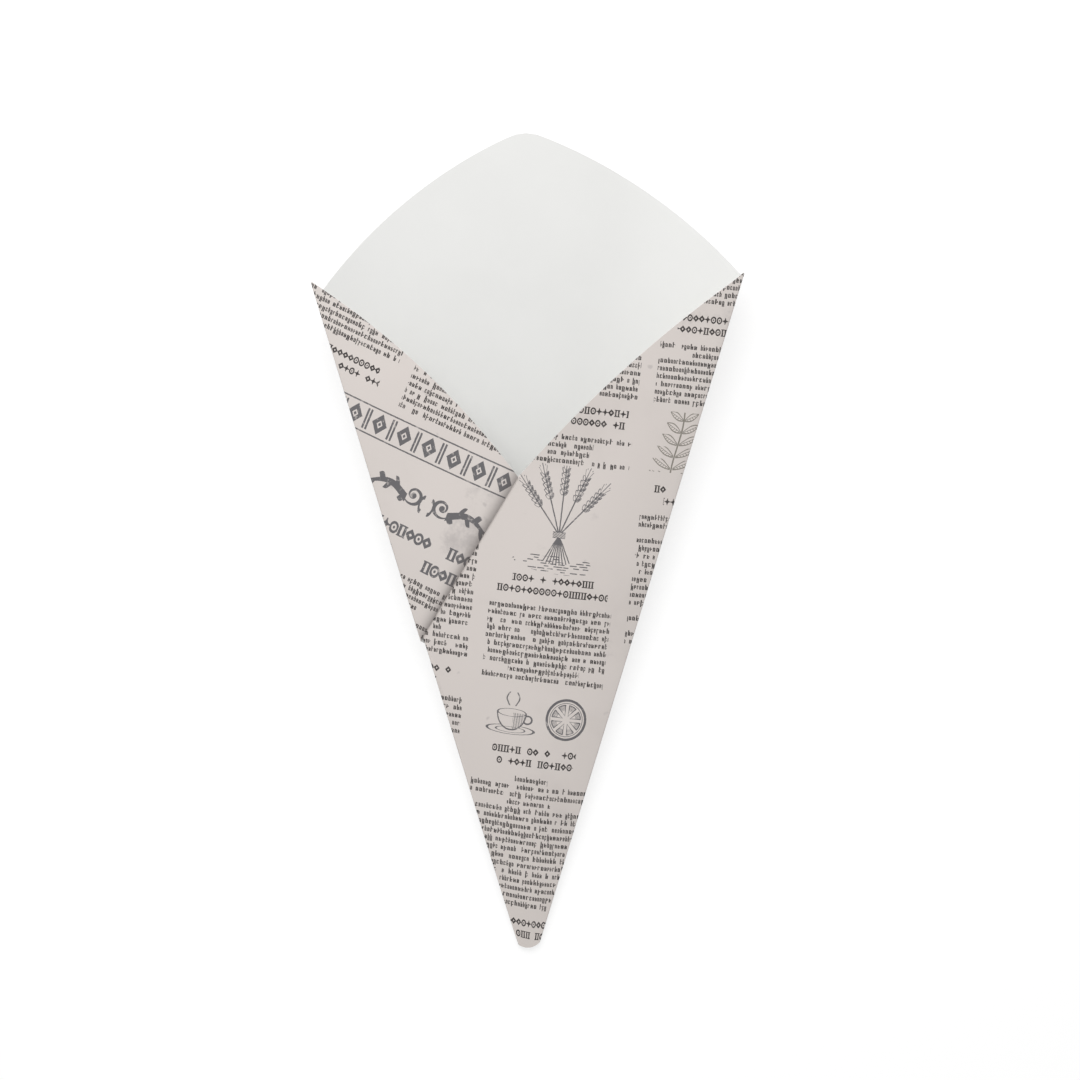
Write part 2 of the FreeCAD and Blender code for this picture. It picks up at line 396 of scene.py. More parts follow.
@dataclass
class PrintedSheet:
    """The cup's one sheet of paper: its form, its thickness and the page that it carries."""

    sizes: Sizes = field(default_factory=Sizes)
    lower_rows: int = 60
    upper_rows: int = 72
    roll_steps: Tuple[float, ...] = (0.0, 0.25, 0.5, 0.8, 1.15, 1.5, 1.9, 2.4, 2.9, 3.5, 4.2, 5.0)
    wave: float = 0.010
    first_guess: float = 150.0
    rounds: int = 6
    inner_middle: float = 60.0
    roll_shape: float = 0.8
    roll_least: float = 0.15
    roll_crowd: float = 6.0
    least_reach: float = 1e-6
    # Width and falloff of the painted shade along the flap's seam edge.
    seam_shade_width: float = 2.1
    seam_shade_fall: float = 1.6
    weld: float = 0.002
    sharp_angle: float = 50.0

    def __post_init__(self) -> None:
        """Lays out the edges of the sheet in the plan."""
        sizes = self.sizes
        self.notch = Spot(sizes.notch_side, sizes.notch)
        peak = Spot(sizes.peak_side, sizes.peak)
        self.left_rim = Edge(self.on_crease(-1, sizes.left_ear), self.notch, sizes.left_rim_bow)
        self.right_rim = Edge(self.notch, self.on_crease(1, sizes.right_ear), sizes.right_rim_bow)
        self.back_left_rim = Edge(self.on_crease(-1, sizes.back_left), peak, sizes.back_left_bow)
        self.back_right_rim = Edge(peak, self.on_crease(1, sizes.back_right), sizes.back_right_bow)
        self.foot = self.on_crease(-1, sizes.seam_foot)
        self.seam = Edge(self.foot, self.notch, 0.0)
        self.back_edge = Edge(self.foot, Spot(0.0, sizes.back_corner), 0.0)
        hidden = self.on_crease(-1, sizes.hidden_rim)
        self.hidden_rim = Edge(hidden, self.notch, 0.0)
        inner_end = Spot(sizes.inner_lap * sizes.inner_rim / sizes.mouth, sizes.inner_rim)
        self.inner_rim = Edge(hidden, inner_end, 0.0)
        self.columns = self.laid_out()

    def on_crease(self, side: int, distance: float) -> Spot:
        """The place on a crease at a distance from the apex."""
        angle = math.radians(self.sizes.half_angle)
        return Spot(side * distance * math.sin(angle), distance * math.cos(angle))

    def laid_out(self) -> List[Column]:
        """The columns of the sheet with the heights at which they start and end.

        Returns:
            The columns in order, from the flap's free edge to the inner end.
        """
        columns: List[Column] = []
        for ply, count in COLUMNS.items():
            first = 0 if not columns else 1
            for index in range(first, count + 1):
                columns.append(Column(ply, index / count))
        for column in columns:
            column.high = self.settled(column, self.rim_of)
            column.low = self.settled(column, lambda c, lean: self.tip_reach(lean))
            column.middle = self.settled(column, self.middle_of)
        for before, after in zip(columns, columns[1:]):
            a = self.bare(before, self.sizes.mouth)
            b = self.bare(after, self.sizes.mouth)
            after.angle = before.angle + a.angle(b)
        return columns

    def settled(self, column: Column, edge: Callable[[Column, float], float]) -> float:
        """The height at which a column crosses an edge of the plan.

        Args:
            column: the column.
            edge: gives the height for a column and the lean of its line.

        Returns:
            The height, after a few rounds, because a column isn't quite a line from the apex.
        """
        height = self.first_guess
        for _ in range(self.rounds):
            spot = self.bare(column, height)
            height = edge(column, spot.x / height)
        return height

    def rim_of(self, column: Column, lean: float) -> float:
        """The height of the rim on a column.

        Args:
            column: the column of the sheet.
            lean: the sideways run of its line for each unit of height.

        Returns:
            The height.
        """
        share = smooth(column.share)
        ear_left = self.left_rim.start.y
        back_left = self.back_left_rim.start.y
        back_right = self.back_right_rim.reach(self.back_lean(1))
        ear_right = self.right_rim.reach(self.back_lean(1))
        if column.ply is Ply.FLAP:
            return self.left_rim.reach(lean)
        if column.ply is Ply.LEFT_BEND:
            return ear_left + (back_left - ear_left) * share
        if column.ply is Ply.RIGHT_BEND:
            return back_right + (ear_right - back_right) * share
        if column.ply in (Ply.BACK_LEFT, Ply.STRIP_LEFT, Ply.STRIP_RIGHT, Ply.BACK_RIGHT):
            return self.peaked(lean)
        if column.ply is Ply.PANEL:
            right = self.right_rim.reach(lean)
            return right if lean > self.notch.x / self.notch.y else self.hidden_rim.reach(lean)
        if column.ply is Ply.INNER_BEND:
            return self.inner_rim.start.y
        return self.inner_rim.reach(lean)

    def back_lean(self, side: int) -> float:
        """The lean of a crease."""
        return side * math.tan(math.radians(self.sizes.half_angle))

    def peaked(self, lean: float) -> float:
        """The height of the back's rim, with its rounded peak.

        Args:
            lean: the sideways run of a line from the apex for each unit of height.

        Returns:
            The height.
        """
        left = self.back_left_rim.reach(lean)
        right = self.back_right_rim.reach(lean)
        lower = min(left, right)
        blend = self.sizes.peak_blend
        return lower - max(0.0, blend - abs(left - right)) ** 2 / (4 * blend)

    def middle_of(self, column: Column, lean: float) -> float:
        """The height at which a column's upper rows start: the free edge, where the column has one.

        Args:
            column: the column of the sheet.
            lean: the sideways run of its line for each unit of height.

        Returns:
            The height.
        """
        if column.ply is Ply.FLAP:
            return min(self.seam.reach(lean), column.high)
        if column.ply is Ply.LEFT_BEND:
            return self.foot.y
        if column.ply in (Ply.BACK_LEFT, Ply.STRIP_LEFT):
            return self.back_edge.reach(lean)
        if column.ply in (Ply.INNER_BEND, Ply.INNER_SIDE, Ply.INNER_STRIP):
            return self.inner_middle
        return self.sizes.back_corner

    def tip_reach(self, lean: float) -> float:
        """The height at which a line from the apex enters the rounded tip.

        Args:
            lean: the line's sideways run for each unit of height.

        Returns:
            The height.
        """
        middle = Spot(self.sizes.tip_side, self.sizes.tip + self.sizes.tip_round)
        a = 1 + lean * lean
        b = lean * middle.x + middle.y
        root = math.sqrt(max(0.0, b ** 2 - a * (middle.length ** 2 - self.sizes.tip_round ** 2)))
        return (b - root) / a

    def bare(self, column: Column, height: float) -> Vector:
        """The point of a column at a height, before the flap rolls down to its seam.

        Args:
            column: the column of the sheet.
            height: distance from the apex along Y.

        Returns:
            The point.
        """
        section = Section(self.sizes, height)
        share = column.share
        nested = section.nested
        if column.ply is Ply.FLAP:
            start = self.notch.x / self.notch.y * height
            end = section.bend(-1, 0, 0).x
            return section.on_front(start + (end - start) * share, 0)
        if column.ply is Ply.LEFT_BEND:
            return section.bend(-1, 0, share)
        if column.ply is Ply.BACK_LEFT:
            return section.on_side_share(-1, 1 - share, 0)
        if column.ply is Ply.STRIP_LEFT:
            return section.on_strip(-section.strip * (1 - share), 0)
        if column.ply is Ply.STRIP_RIGHT:
            return section.on_strip(section.strip * share, 0)
        if column.ply is Ply.BACK_RIGHT:
            return section.on_side_share(1, share, 0)
        if column.ply is Ply.RIGHT_BEND:
            return section.bend(1, 0, 1 - share)
        if column.ply is Ply.PANEL:
            return section.on_panel(share)
        if column.ply is Ply.INNER_BEND:
            return section.bend(-1, nested, share)
        if column.ply is Ply.INNER_SIDE:
            return section.on_side_share(-1, 1 - share, nested)
        return section.on_strip(-section.strip + (section.lap + section.strip) * share, nested)

    def placed(self, column: Column, height: float) -> Vector:
        """The point of a column at a height, with the flap's roll and the paper's slight waves.

        Args:
            column: the column of the sheet.
            height: distance from the apex along Y.

        Returns:
            The point.
        """
        point = self.bare(column, height)
        if column.ply is Ply.FLAP:
            point.z = self.rolled_down(point)
        x, y = point.x, point.y
        swell = math.sin(x * 0.061 + y * 0.043 + 0.8) * math.sin(y * 0.071 - x * 0.052)
        swell += 0.5 * math.sin(x * 0.13 - y * 0.11 + 2.0)
        point.z += point.z * self.wave * swell
        return point

    def seam_distance(self, point: Vector) -> float:
        """Distance of a point from the seam's line, into the flap."""
        return self.seam.across.dot(self.seam.start.to(Spot(point.x, point.y)))

    def rolled_down(self, point: Vector) -> float:
        """Height of the flap's outer face where it comes down to the glued seam.

        Args:
            point: a point of the flap before it rolls down.

        Returns:
            The height.
        """
        width = self.roll_width(point)
        distance = self.seam_distance(point)
        if distance >= width:
            return point.z
        glued = Section(self.sizes, point.y).panel_height(point.x) + self.sizes.paper
        share = max(0.0, distance / width)
        return glued + (point.z - glued) * math.sin(share * math.pi / 2) ** self.roll_shape

    def roll_width(self, point: Vector) -> float:
        """Width of the roll at a place, narrower towards the seam's foot.

        Args:
            point: the place.

        Returns:
            The width.
        """
        whole = self.foot.to(self.notch).length
        along = self.seam.along.dot(self.foot.to(Spot(point.x, point.y)))
        return self.sizes.seam_roll * min(1.0, max(self.roll_least, along / whole))

    def heights(self, column: Column) -> List[float]:
        """The heights of a column's rows, with close rows at the rolled edge of the flap.

        Args:
            column: the column of the sheet.

        Returns:
            The heights, from the tip to the rim.
        """
        lower = [column.low + (column.middle - column.low) * (row / self.lower_rows)
                 for row in range(self.lower_rows)]
        if column.ply is not Ply.FLAP:
            return lower + [column.middle + (column.high - column.middle) * row / self.upper_rows
                            for row in range(self.upper_rows + 1)]
        reach = self.seam_distance(self.bare(column, column.high))
        if reach <= self.least_reach:
            return lower + [column.high] * (self.upper_rows + 1)
        steps = len(self.roll_steps)
        last = min(self.roll_steps[-1], reach)
        upper = []
        for row in range(self.upper_rows + 1):
            if row < steps:
                distance = min(self.roll_steps[row], reach * row / self.upper_rows * self.roll_crowd, reach)
            else:
                distance = last + (reach - last) * (row - steps + 1) / (self.upper_rows - steps + 1)
            upper.append(column.middle + (column.high - column.middle) * (distance / reach))
        return lower + upper

    def build(self, finishes: Sequence[bpy.types.Material]) -> bpy.types.Object:
        """Rolls the sheet from a flat grid and gives it its page and its thickness.

        Args:
            finishes: the outside, the inside and the cut edge.

        Returns:
            The finished object.
        """
        rows = self.lower_rows + self.upper_rows
        count = len(self.columns)
        work = bmesh.new()
        work.loops.layers.uv.new("page")
        work.verts.layers.float.new("seam_shade")
        bmesh.ops.create_grid(work, x_segments=count - 1, y_segments=rows, size=1.0)
        work.verts.ensure_lookup_table()
        order = sorted(work.verts, key=lambda v: (round((v.co.x + 1) / 2 * (count - 1)),
                                                  round((v.co.y + 1) / 2 * rows)))
        place: Dict[bmesh.types.BMVert, Tuple[int, int]] = {}
        for index, vert in enumerate(order):
            place[vert] = divmod(index, rows + 1)
        heights = [self.heights(column) for column in self.columns]
        for vert, (across, up) in place.items():
            vert.co = self.placed(self.columns[across], heights[across][up])
        self.paged(work, place)
        self.shaded(work, place)
        self.trimmed(work, place)
        bmesh.ops.remove_doubles(work, verts=work.verts, dist=self.weld)
        self.turned_out(work)
        self.moved_home(work)
        mesh = bpy.data.meshes.new("printed_sheet")
        work.to_mesh(mesh)
        work.free()
        sheet = bpy.data.objects.new("printed_sheet", mesh)
        bpy.context.scene.collection.objects.link(sheet)
        for finish in finishes:
            mesh.materials.append(finish)
        self.thickened(sheet)
        return sheet

    def shaded(self, work: bmesh.types.BMesh, place: Dict[bmesh.types.BMVert, Tuple[int, int]]) -> None:
        """Marks the painted shade on the flap near its glued edge, from 1 at the edge to 0 past the roll.

        Args:
            work: the mesh.
            place: the column and row of each vertex.
        """
        layer = work.verts.layers.float["seam_shade"]
        for vert, (across, _) in place.items():
            if self.columns[across].ply is Ply.FLAP:
                distance = max(0.0, self.seam_distance(vert.co))
                # Painted shade: strongest at the seam edge, fading out across the roll.
                vert[layer] = math.exp(-((distance / self.seam_shade_width) ** self.seam_shade_fall))

    def paged(self, work: bmesh.types.BMesh, place: Dict[bmesh.types.BMVert, Tuple[int, int]]) -> None:
        """Writes the page coordinates of every corner, as if the sheet lay unrolled.

        Args:
            work: the mesh.
            place: the column and row of each vertex.
        """
        layer = work.loops.layers.uv["page"]
        back = next(i for i, c in enumerate(self.columns) if c.ply is Ply.STRIP_RIGHT)
        front = min((i for i, c in enumerate(self.columns) if c.ply is Ply.PANEL),
                    key=lambda i: abs(self.bare(self.columns[i], self.first_guess).x))
        flap_zero = self.notch.x / self.notch.y
        front_zero = self.columns[front].angle
        for face in work.faces:
            across = min(place[vert][0] for vert in face.verts)
            page = Page.FLAP if across < back - 1 else Page.FRONT
            zero = flap_zero if page is Page.FLAP else front_zero
            for loop in face.loops:
                column = self.columns[place[loop.vert][0]]
                radius = loop.vert.co.length
                angle = column.angle - zero
                loop[layer].uv = page.turned(-radius * math.sin(angle), radius * math.cos(angle))

    def trimmed(self, work: bmesh.types.BMesh, place: Dict[bmesh.types.BMVert, Tuple[int, int]]) -> None:
        """Cuts away the lower left corner, so that the free edge crosses the flap and the back.

        Args:
            work: the mesh.
            place: the column and row of each vertex.
        """
        last = max(i for i, c in enumerate(self.columns) if c.ply is Ply.STRIP_LEFT)
        waste = [face for face in work.faces
                 if max(place[v][0] for v in face.verts) <= last
                 and max(place[v][1] for v in face.verts) <= self.lower_rows]
        bmesh.ops.delete(work, geom=waste, context="FACES")

    def turned_out(self, work: bmesh.types.BMesh) -> None:
        """Turns the sheet so that its printed side is its outer one.

        Args:
            work: the mesh.
        """
        work.faces.ensure_lookup_table()
        lowest = min(work.faces, key=lambda f: f.calc_center_median().z)
        work.normal_update()
        if lowest.normal.z > 0:
            bmesh.ops.reverse_faces(work, faces=work.faces)

    def moved_home(self, work: bmesh.types.BMesh) -> None:
        """Moves the sheet from the apex to where the solid part lies, in metres.

        Args:
            work: the mesh.
        """
        low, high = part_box(NODE)
        xs = [vert.co.x for vert in work.verts]
        ys = [vert.co.y for vert in work.verts]
        shift = Vector(((low[0] + high[0]) / 2 / MM - (min(xs) + max(xs)) / 2,
                        (low[1] + high[1]) / 2 / MM - (min(ys) + max(ys)) / 2, 0))
        log.info("shift from the apex %s", shift)
        for vert in work.verts:
            vert.co = (vert.co + shift) * MM

    def thickened(self, sheet: bpy.types.Object) -> None:
        """Gives the sheet the paper's thickness, inwards from its printed face.

        Args:
            sheet: the thin sheet.
        """
        wall = sheet.modifiers.new("paper", "SOLIDIFY")
        wall.thickness = self.sizes.paper * MM
        wall.offset = -1.0
        wall.use_even_offset = False
        wall.material_offset = 1
        wall.material_offset_rim = 2
        solid = sheet.evaluated_get(bpy.context.evaluated_depsgraph_get())
        mesh = bpy.data.meshes.new_from_object(solid)
        sheet.modifiers.clear()
        sheet.data = mesh
        mesh.shade_smooth()
        mesh.set_sharp_from_angle(angle=math.radians(self.sharp_angle))


class Page(Enum):
    """The two parts of the printed page, each with the turn of its columns and its place on the page."""

    FRONT = (6.5, 0.0)
    FLAP = (24.0, 394.4)

    def turned(self, across: float, up: float) -> Tuple[float, float]:
        """Page coordinates, in metres, of a place on the unrolled sheet, in millimetres.

        Args:
            across: distance to the right of the part's middle line.
            up: distance from the apex.

        Returns:
            The two coordinates.
        """
        turn, shift = self.value
        c, s = math.cos(math.radians(turn)), math.sin(math.radians(turn))
        return (across * c - up * s + shift) * MM, (across * s + up * c) * MM


Value = Union["Wire", float]


class Wire:
    """One output of a node, on which arithmetic adds Math nodes."""

    def __init__(self, bench: "Bench", socket: bpy.types.NodeSocket) -> None:
        """Keeps the socket and the bench on which its node stands."""
        self.bench = bench
        self.socket = socket

    def __add__(self, other: Value) -> "Wire":
        """Sum."""
        return self.bench.maths("ADD", self, other)

    def __sub__(self, other: Value) -> "Wire":
        """Difference."""
        return self.bench.maths("SUBTRACT", self, other)

    def __rsub__(self, other: Value) -> "Wire":
        """Difference from a number."""
        return self.bench.maths("SUBTRACT", other, self)

    def __mul__(self, other: Value) -> "Wire":
        """Product."""
        return self.bench.maths("MULTIPLY", self, other)

    def __truediv__(self, other: Value) -> "Wire":
        """Quotient."""
        return self.bench.maths("DIVIDE", self, other)

    def __rtruediv__(self, other: Value) -> "Wire":
        """Quotient of a number."""
        return self.bench.maths("DIVIDE", other, self)

    def __lt__(self, other: Value) -> "Wire":
        """1 where this is less."""
        return self.bench.maths("LESS_THAN", self, other)

    def __gt__(self, other: Value) -> "Wire":
        """1 where this is more."""
        return self.bench.maths("GREATER_THAN", self, other)

    def __pow__(self, other: Value) -> "Wire":
        """Power."""
        return self.bench.maths("POWER", self, other)

    def __abs__(self) -> "Wire":
        """Absolute value."""
        return self.bench.maths("ABSOLUTE", self)

    def floor(self) -> "Wire":
        """Whole part."""
        return self.bench.maths("FLOOR", self)

    def fract(self) -> "Wire":
        """Part after the point."""
        return self.bench.maths("FRACT", self)

    def sine(self) -> "Wire":
        """Sine."""
        return self.bench.maths("SINE", self)

    def most(self, other: Value) -> "Wire":
        """The larger of two."""
        return self.bench.maths("MAXIMUM", self, other)

    def over(self, length: float) -> "Wire":
        """Remainder in repeats of a length, never negative."""
        return self.bench.maths("FLOORED_MODULO", self, length)

    def between(self, low: Value, high: Value) -> "Wire":
        """1 where this is between two limits."""
        return (self > low) * (self < high)

    def ramp(self, start: float, end: float, low: float = 0.0, high: float = 1.0) -> "Wire":
        """A soft step from low to high, as this goes from start to end.

        Args:
            start: where the step starts.
            end: where it ends.
            low: the value before it.
            high: the value after it.

        Returns:
            The step.
        """
        return self.bench.node("ShaderNodeMapRange", {"interpolation_type": "SMOOTHSTEP"},
                               {"Value": self, "From Min": start, "From Max": end,
                                "To Min": low, "To Max": high})


Colour = Union[Wire, Tuple[float, float, float, float]]


def shade(red: int, green: int, blue: int) -> Tuple[float, float, float, float]:
    """A colour as it is on a screen, turned into the light that nodes work with.

    Args:
        red: from 0 to 255.
        green: from 0 to 255.
        blue: from 0 to 255.

    Returns:
        The colour.
    """
    def linear(level: int) -> float:
        """One channel."""
        share = level / 255
        return share / 12.92 if share <= 0.04045 else ((share + 0.055) / 1.055) ** 2.4
    return linear(red), linear(green), linear(blue), 1.0


class Bench:
    """The nodes of one finish."""

    def __init__(self, home: Union[str, bpy.types.NodeTree]) -> None:
        """Clears a node tree: that of a new material of this name, or one that is given.

        Args:
            home: the name or the tree.
        """
        self.material: Optional[bpy.types.Material] = None
        if isinstance(home, str):
            self.material = bpy.data.materials.new(home)
            self.material.use_nodes = True
            home = self.material.node_tree
        self.tree = home
        self.tree.nodes.clear()

    def node(self, kind: str, settings: Optional[Dict[str, object]] = None,
             inputs: Optional[Dict[Union[str, int], object]] = None, out: Union[str, int] = 0) -> Wire:
        """Adds one node.

        Args:
            kind: the node's type.
            settings: its own settings, which are set first.
            inputs: values or links of its sockets, by name or number.
            out: the output that is wanted.

        Returns:
            That output.
        """
        made = self.tree.nodes.new(kind)
        for key, value in (settings or {}).items():
            setattr(made, key, value)
        for key, value in (inputs or {}).items():
            if isinstance(value, Wire):
                self.tree.links.new(value.socket, made.inputs[key])
            else:
                made.inputs[key].default_value = value
        return Wire(self, made.outputs[out])

    def maths(self, operation: str, *values: Value) -> Wire:
        """Adds one Math node."""
        return self.node("ShaderNodeMath", {"operation": operation}, dict(enumerate(values)))

    def mixed(self, share: Value, first: Colour, second: Colour) -> Wire:
        """Mixes two colours.

        Args:
            share: how much of the second.
            first: one colour.
            second: the other.

        Returns:
            The colour.
        """
        return self.node("ShaderNodeMix", {"data_type": "RGBA", "clamp_factor": True},
                         {0: share, 6: first, 7: second}, 2)

    def vector(self, x: Value, y: Value, z: Value) -> Wire:
        """Three numbers as one vector."""
        return self.node("ShaderNodeCombineXYZ", None, {0: x, 1: y, 2: z})

    def axes(self, vector: Wire) -> Tuple[Wire, Wire, Wire]:
        """The three numbers of a vector."""
        split = self.node("ShaderNodeSeparateXYZ", None, {0: vector}).socket.node
        return Wire(self, split.outputs[0]), Wire(self, split.outputs[1]), Wire(self, split.outputs[2])

    def chances(self, vector: Wire) -> Tuple[Wire, Wire, Wire, Wire]:
        """Four random numbers for each whole place.

        Args:
            vector: the place.

        Returns:
            Four numbers from 0 to 1.
        """
        noise = self.node("ShaderNodeTexWhiteNoise", {"noise_dimensions": "3D"},
                          {"Vector": vector}, "Color")
        split = self.node("ShaderNodeSeparateColor", None, {0: noise}).socket.node
        value = noise.socket.node.outputs["Value"]
        return (Wire(self, split.outputs[0]), Wire(self, split.outputs[1]),
                Wire(self, split.outputs[2]), Wire(self, value))

    def cloud(self, vector: Wire, scale: float, detail: float = 3.0, roughness: float = 0.5) -> Wire:
        """Soft noise around 0.5 on a vector."""
        return self.node("ShaderNodeTexNoise", None,
                         {"Vector": vector, "Scale": scale, "Detail": detail, "Roughness": roughness})

    def surface(self, colour: Colour, roughness: Value, normal: Wire) -> bpy.types.Material:
        """Finishes the material with a plain paper shader.

        Args:
            colour: its colour.
            roughness: its roughness.
            normal: its bent normal.

        Returns:
            The material.
        """
        inputs = {"Base Color": colour, "Roughness": roughness, "Specular IOR Level": 0.3, "Normal": normal}
        shader = self.node("ShaderNodeBsdfPrincipled", None, inputs, "BSDF")
        self.closed(shader)
        return self.material

    def closed(self, shader: Wire, kind: str = "Material") -> None:
        """Links a shader to the tree's output."""
        output = self.tree.nodes.new("ShaderNodeOutput" + kind)
        self.tree.links.new(shader.socket, output.inputs["Surface"])


@dataclass(frozen=True)
class PlainPaper:
    """White uncoated paper, for the inside and, a little warmer, for the cut edge."""

    name: str
    tone: Tuple[int, int, int]
    fibre: float = 0.03

    def made(self) -> bpy.types.Material:
        """The finish, with a faint cloudiness and the tooth of the fibres.

        Returns:
            The material.
        """
        bench = Bench(self.name)
        place = bench.node("ShaderNodeTexCoord", out="Object")
        cloud = bench.cloud(place, 28.0, 4.0)
        fibre = bench.cloud(place, 2600.0, 2.0, 0.6)
        low = shade(*(int(level * 0.988) for level in self.tone))
        colour = bench.mixed(cloud.ramp(0.3, 0.7), low, shade(*self.tone))
        normal = bench.node("ShaderNodeBump", None,
                            {"Strength": 0.25, "Distance": self.fibre * MM, "Height": fibre}, "Normal")
        return bench.surface(colour, cloud.ramp(0.2, 0.8, 0.62, 0.74), normal)


@dataclass(frozen=True)
class BodySetting:
    """Small set text, in millimetres. Its marks stand for letters and are none."""

    letter: float = 1.0
    line: float = 2.46
    tall: float = 1.22
    stroke: float = 0.33
    gap: float = 0.13
    reach: float = 0.5

    def marks(self, bench: Bench, p: Wire, q: Wire) -> Wire:
        """Rows of short stems joined by small arcs, grouped as words.

        Args:
            bench: where the nodes stand.
            p: distance across the page.
            q: distance up the page.

        Returns:
            1 on a mark, 0 elsewhere.
        """
        row = (q / self.line).floor()
        cells = p / self.letter + (p * 0.9 + row * 2.3).sine() * 0.22
        first, second, third, fourth = bench.chances(bench.vector(cells.floor(), row, 3.0))
        across = cells.fract() * self.letter
        up = (q / self.line).fract() * self.line - self.line * 0.27
        thin = self.stroke
        wide = self.letter * 0.76
        centred = across / wide * 2.0 - 1.0
        droop = centred * centred * (self.tall * 0.26)
        above = (first * 7.0).fract().between(0.0, 0.28) * self.reach + self.tall
        below = (second * 7.0).fract().between(0.0, 0.14) * -self.reach
        left_stem = (first > 0.12) * across.between(0.0, thin) * up.between(below, above)
        right_stem = (second > 0.34) * across.between(wide - thin, wide)
        right_stem = right_stem * up.between(below, self.tall * 0.86)
        top = (third > 0.3) * (up + droop).between(self.tall - thin * 0.75, self.tall)
        low_arc = (third * 5.0).fract().between(0.0, 0.6) * (up - droop).between(0.0, thin * 0.75)
        slant = (third < 0.5) * (up - across * 0.5).between(self.tall * 0.2, self.tall * 0.2 + thin)
        arcs = across.between(0.0, wide) * top.most(low_arc).most(slant)
        return left_stem.most(right_stem).most(arcs) * (fourth > self.gap)


@dataclass(frozen=True)
class OrnamentSetting:
    """Headings, in millimetres: rows of small printers' ornaments in groups, with no letter among them."""

    letter: float
    line: float
    tall: float
    gap: float
    seed: float

    def marks(self, bench: Bench, p: Wire, q: Wire) -> Wire:
        """Rows of lozenges, rings, stars and pairs of pillars, grouped as words.

        Args:
            bench: where the nodes stand.
            p: distance across the page.
            q: distance up the page.

        Returns:
            1 on a mark, 0 elsewhere.
        """
        cells, rows = p / self.letter, q / self.line
        first, second, third, _ = bench.chances(bench.vector(cells.floor(), rows.floor(), self.seed))
        x = (cells.fract() - 0.5) * (self.letter / self.tall * 2.1)
        y = (rows.fract() - 0.5) * (self.line / self.tall * 2.0)
        aside, aloft = abs(x), abs(y)
        lozenge = (aside * 1.05 + aloft).between(0.3, 1.0)
        around = (x * x * 1.5 + y * y) ** 0.5
        ring = around.between(0.55, 1.0).most(around < 0.24)
        slabs = aloft.between(0.76, 1.0) * (aside < 0.86)
        pillars = (aside.between(0.2, 0.66) * (aloft < 1.0)).most(slabs)
        star = (aside * aloft < 0.09) * (aside.most(aloft) < 0.95)
        kind = (first < 0.28) * lozenge + first.between(0.28, 0.52) * ring
        kind = kind + first.between(0.52, 0.74) * star + (first > 0.74) * pillars
        return kind * (second > self.gap)


@dataclass(frozen=True)
class Area:
    """A rectangle of the page, in millimetres."""

    left: float
    low: float
    right: float
    high: float

    @classmethod
    def on_lines(cls, left: float, first: float, right: float, last: float) -> "Area":
        """A rectangle whose lower and upper edges lie on lines of the small text."""
        return cls(left, first * BodySetting.line, right, last * BodySetting.line)

    def inside(self, p: Wire, q: Wire) -> Wire:
        """1 inside the rectangle."""
        return p.between(self.left, self.right) * q.between(self.low, self.high)


@dataclass(frozen=True)
class PageLayout:
    """The page: columns of stories, each with a heading, and places kept free for the drawings."""

    body: BodySetting = BodySetting()
    heading: OrnamentSetting = OrnamentSetting(1.9, 3.69, 2.25, 0.13, 11.0)
    column: float = 39.0
    gutter: float = 5.2
    first: float = -26.0
    story: int = 22
    heading_lines: int = 3
    last_line: int = 20
    first_turn: float = 8.0
    column_turn: float = 13.0

    def text(self, bench: Bench, p: Wire, q: Wire, kept: Wire) -> Wire:
        """All set text of the page.

        Args:
            bench: where the nodes stand.
            p: distance across the page.
            q: distance up the page.
            kept: 1 where a drawing has its place.

        Returns:
            1 on a mark.
        """
        period = self.column + self.gutter
        column = ((p - self.first) / period).floor()
        inside = p - self.first - column * period
        turn = column * self.column_turn + self.first_turn
        line = (q / self.body.line).floor()
        row = (turn - line).over(self.story)
        story = ((turn - line) / self.story).floor()
        down = (turn + 1 - q / self.body.line).over(self.story) * self.body.line
        chance, length, _, _ = bench.chances(bench.vector(column, line, 5.0))
        half = self.column / 2
        from_middle = abs(inside - half)
        short = (chance < 0.12) * (length * 0.4 + 0.2)
        full = (chance > 0.12) + short
        body = (from_middle < full * half) * row.between(self.heading_lines + 0.5, self.last_line + 0.5)
        heading_row = (down / self.heading.line).floor() + story * 5.0
        _, width, _, _ = bench.chances(bench.vector(column, heading_row, 8.0))
        heading = (from_middle < (width * 0.42 + 0.5) * half) * (row < self.heading_lines - 0.5)
        small = self.body.marks(bench, p, q) * body
        aloft = down + story * self.heading.line * 5
        large = self.heading.marks(bench, inside + column * 61.0, aloft) * heading
        return small.most(large) * (1 - kept)


